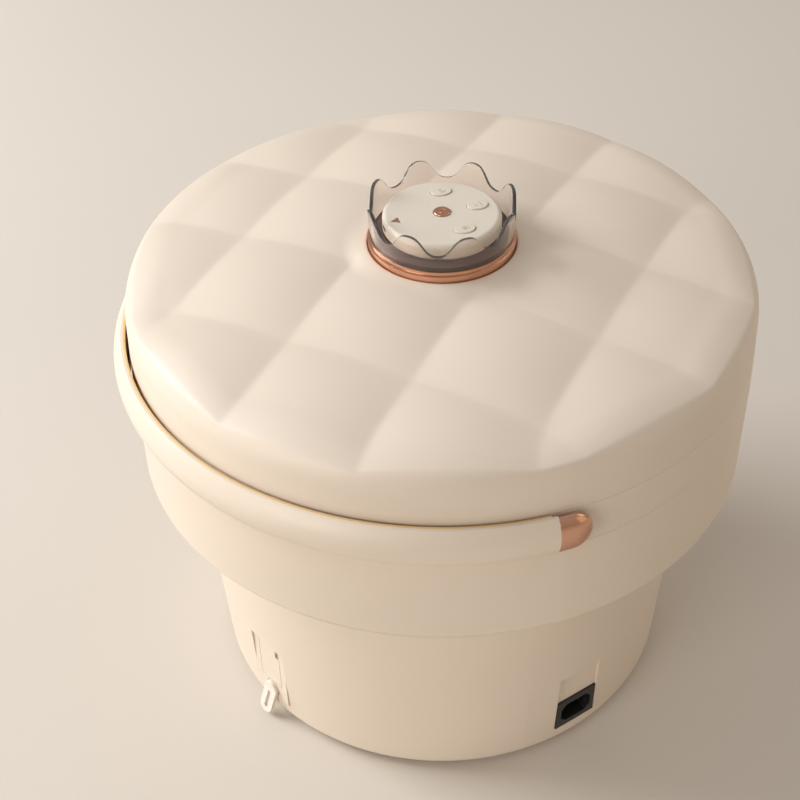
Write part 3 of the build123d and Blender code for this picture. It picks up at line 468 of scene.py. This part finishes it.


def make_cap(side, pivot_angle, turn):
    """A domed metal cap with a D-shaped outline around its pivot; turn is the way its round end points."""
    around = full_circle(CAP_STEPS)
    along, across = np.cos(around), np.sin(around)
    reach = np.full_like(around, CAP_HALF)
    back = along < 0
    flat = CAP_HALF / np.maximum(np.abs(across), 1e-6)
    end = CAP_BACK / np.maximum(-along, 1e-6)
    reach[back] = np.minimum(flat, end)[back]

    def ring(span, lift):
        s, z = span * along, span * across
        direction = math.radians(pivot_angle) + turn * s / CAP_MIDDLE
        return polar(BAND_INNER + lift(s, z), direction, PIVOT_HEIGHT + z)

    def dome(s, z):
        """Full in the middle and falling steeply to the edge, round the end and along the sides."""
        off_centre = np.where(s > 0, np.hypot(s, z), np.abs(z)) / CAP_HALF
        return CAP_EDGE + CAP_DOME * np.sqrt(np.clip(1 - off_centre**2, 0, 1))

    def level(lift):
        return lambda s, z: np.full_like(s, lift)

    shares = (0.02, *np.linspace(0.1, 0.9, 9), 0.94, 0.97, 0.99, 1.0)
    rings = [ring(reach * share, dome) for share in shares]
    rings += [ring(reach, level(0.3)), ring(reach * 0.98, level(0.0))]
    pocket = ((PIN_RADIUS, 0.0), (PIN_RADIUS, PIN_DEPTH), (0.3, PIN_DEPTH))
    rings += [ring(radius, level(lift)) for radius, lift in pocket]
    mesh = ring_grid(rings, closed=False)
    cap = mesh_object(f"domed_cap_{side}", *mesh, finishes["rose_metal"], "handle", "rose_metal")
    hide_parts(f"end_cap_{side}")


def make_bounce_strip():
    """A strip on the band's inner face whose ochre is painted bounce light; its edge shows as a golden line
    beside the lid, in place of the warm shade in the gap.
    """
    outer, top = BAND_INNER - BOUNCE_STRIP_GAP, PIVOT_HEIGHT + BAND_HALF + BOUNCE_STRIP_PROUD
    inner, bottom = outer - BOUNCE_STRIP_THICKNESS, PIVOT_HEIGHT - BAND_HALF + 1
    section = (
        (outer, bottom),
        (outer, top - BOUNCE_STRIP_EASE),
        (outer - BOUNCE_STRIP_EASE, top),
        (inner + BOUNCE_STRIP_EASE, top),
        (inner, top - BOUNCE_STRIP_EASE),
        (inner, bottom),
    )
    rings = []
    for turn in np.radians(np.linspace(BOUNCE_STRIP_END - 180, -BOUNCE_STRIP_END, 181)):
        rings.append([(r * math.cos(turn), r * math.sin(turn), z) for r, z in section])
    ochre = moulded("painted_bounce_ochre", BOUNCE_OCHRE, 0.5)
    mesh_object("painted_bounce_strip", *ring_grid(rings, closed=False), ochre, "handle", "handle", smooth=False)


# ---- signs on the keys -------------------------------------------------------------------
LINE_WIDTH, LINE_RISE = 0.55, 0.28
LINE_SECTION = ((-0.5, -0.1), (-0.3, 1.0), (0.3, 1.0), (0.5, -0.1))  # in widths and rises


def arc(x, y, radius, start=0, end=360):
    turns = np.radians(np.linspace(start, end, 28))
    return [(x + radius * math.cos(turn), y + radius * math.sin(turn)) for turn in turns]


def wavy(y, half=2.6, rise=0.45):
    return [(x, y + rise * math.sin(x * math.pi / half * 1.5)) for x in np.linspace(-half, half, 25)]


def stroke_sides(points):
    """Unit vectors across a stroke at each of its points; a closed stroke meets itself squarely."""
    step = np.gradient(points, axis=0)
    if np.allclose(points[0], points[-1]):
        step[0] = step[-1] = points[1] - points[-2]
    return np.stack([-step[:, 1], step[:, 0]], axis=1) / np.linalg.norm(step, axis=1)[:, None]


def make_sign(name, key, body, slot, *strokes):
    """Raised strokes on a key; a stroke's points are right and up, as the remote is read, from its middle."""
    low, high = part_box(key)
    middle = (low + high) / 2 / MM
    turned = math.radians(LID_TURN)
    count = len(LINE_SECTION)
    verts, faces = [], []
    for points in strokes:
        points = np.array(points, dtype=float)
        start = len(verts)
        for point, side in zip(points, stroke_sides(points)):
            for share, rise in LINE_SECTION:
                right, up = point + side * share * LINE_WIDTH
                x = middle.x - up * math.cos(turned) - right * math.sin(turned)
                y = middle.y - up * math.sin(turned) + right * math.cos(turned)
                verts.append((x, y, high.z / MM + rise * LINE_RISE))
        for a in range(start, len(verts) - count, count):
            for j in range(count):
                k = (j + 1) % count
                faces.append((a + j, a + k, a + count + k, a + count + j))
        faces.append(tuple(range(start, start + count)))
        faces.append(tuple(range(len(verts) - count, len(verts))))
    mesh_object(name, verts, faces, finishes[slot], body, slot, smooth=False)


def make_signs():
    power = (arc(0, 0, 2.3, 120, 420), [(0, 0.6), (0, 1.7), (0, 3.0)])
    waves = (wavy(1.3), wavy(0.0), wavy(-1.3))
    bubbles = (arc(-1.6, -0.5, 1.0), arc(1.3, 0.9, 0.8), arc(1.6, -1.3, 0.55))
    roller = (arc(0, 0, 1.9), arc(0, 0, 0.7))
    make_sign("power_sign", "power_button", "power_key", "rose_metal", *power)
    make_sign("warmth_sign", "button_front", "front_key", "remote_shell", *waves)
    make_sign("bubble_sign", "button_middle", "middle_key", "remote_shell", *bubbles)
    make_sign("roller_sign", "button_back", "back_key", "remote_shell", *roller)


# ---- camera, light and floor, in metres --------------------------------------------------
AWAY = Vector((-0.937, 0.349, 0))      # level, away from the camera
RIGHT = Vector((0.349, 0.937, 0))
UP = Vector((0, 0, 1))
AIM = Vector((0, 0, 0.2))
FLOOR_HALF = 8.0
# each light: how far right, away and up of the aim, its size, watts and colour
LIGHTS = {
    "key": (-2.37, 0.64, 1.5, 1.5, 79.0, (0.965, 0.985, 1.0)),
    "front_fill": (-1.5, -1.8, 0.6, 1.2, 19.0, (1.0, 0.98, 0.94)),
    "right_fill": (2.0, -0.6, 0.7, 1.6, 3.0, (1.0, 0.82, 0.52)),
    "back_fill": (1.6, 0.9, 1.3, 1.2, 5.0, (1.0, 0.92, 0.80)),
}
HORIZON, ZENITH = (1.0, 0.78, 0.53, 1), (0.98, 0.98, 1.0, 1)
SKY_STRENGTH, SKY_TOP = 0.40, 0.75


def make_camera():
    data = bpy.data.cameras.new("camera")
    data.lens = 64.07
    data.sensor_width = 36.0
    data.shift_x = -0.0525
    data.shift_y = 0.0146
    data.clip_end = 50.0
    camera = bpy.data.objects.new("camera", data)
    camera.location = (0.6773, -0.2519, 0.80475)
    camera.rotation_euler = (math.radians(49.13), 0, math.radians(69.6))
    bpy.context.scene.collection.objects.link(camera)
    bpy.context.scene.camera = camera


def make_floor():
    corners = ((-1, -1), (1, -1), (1, 1), (-1, 1))
    mesh = bpy.data.meshes.new("floor")
    mesh.from_pydata([(x * FLOOR_HALF, y * FLOOR_HALF, 0) for x, y in corners], [], [(0, 1, 2, 3)])
    floor = bpy.data.objects.new("floor", mesh)
    bpy.context.scene.collection.objects.link(floor)
    material, tree, shader = new_material("floor_pale")
    vary_colour(tree, shader, STONE, 1.5)
    shader.inputs["Roughness"].default_value = 0.8
    floor.data.materials.append(material)


def make_lights():
    for name, (right, away, up, size, watts, colour) in LIGHTS.items():
        data = bpy.data.lights.new(name, "AREA")
        data.shape = "RECTANGLE"
        data.size = data.size_y = size
        data.energy = watts
        data.color = colour
        lamp = bpy.data.objects.new(name, data)
        lamp.location = AIM + RIGHT * right + AWAY * away + UP * up
        lamp.rotation_euler = (AIM - lamp.location).to_track_quat("-Z", "Y").to_euler()
        bpy.context.scene.collection.objects.link(lamp)


def make_sky():
    """A soft room: warm at the horizon and pale overhead."""
    world = bpy.data.worlds.new("studio")
    world.use_nodes = True
    tree = world.node_tree
    back = tree.nodes["Background"]
    back.inputs["Strength"].default_value = SKY_STRENGTH
    where = tree.nodes.new("ShaderNodeTexCoord")
    split = tree.nodes.new("ShaderNodeSeparateXYZ")
    height = tree.nodes.new("ShaderNodeMapRange")
    height.inputs["From Min"].default_value = 0.0
    height.inputs["From Max"].default_value = SKY_TOP
    sky = tree.nodes.new("ShaderNodeMix")
    sky.data_type = "RGBA"
    sky.inputs["A"].default_value = HORIZON
    sky.inputs["B"].default_value = ZENITH
    tree.links.new(where.outputs["Generated"], split.inputs["Vector"])
    tree.links.new(split.outputs["Z"], height.inputs["Value"])
    tree.links.new(height.outputs["Result"], sky.inputs["Factor"])
    tree.links.new(sky.outputs["Result"], back.inputs["Color"])
    bpy.context.scene.world = world
    bpy.context.scene.view_settings.view_transform = "Standard"


dress_nodes()
make_lid()
make_crown()
make_cap("right", 0, 1)
make_cap("left", 180, -1)
make_bounce_strip()
make_signs()
make_camera()
make_floor()
make_lights()
make_sky()
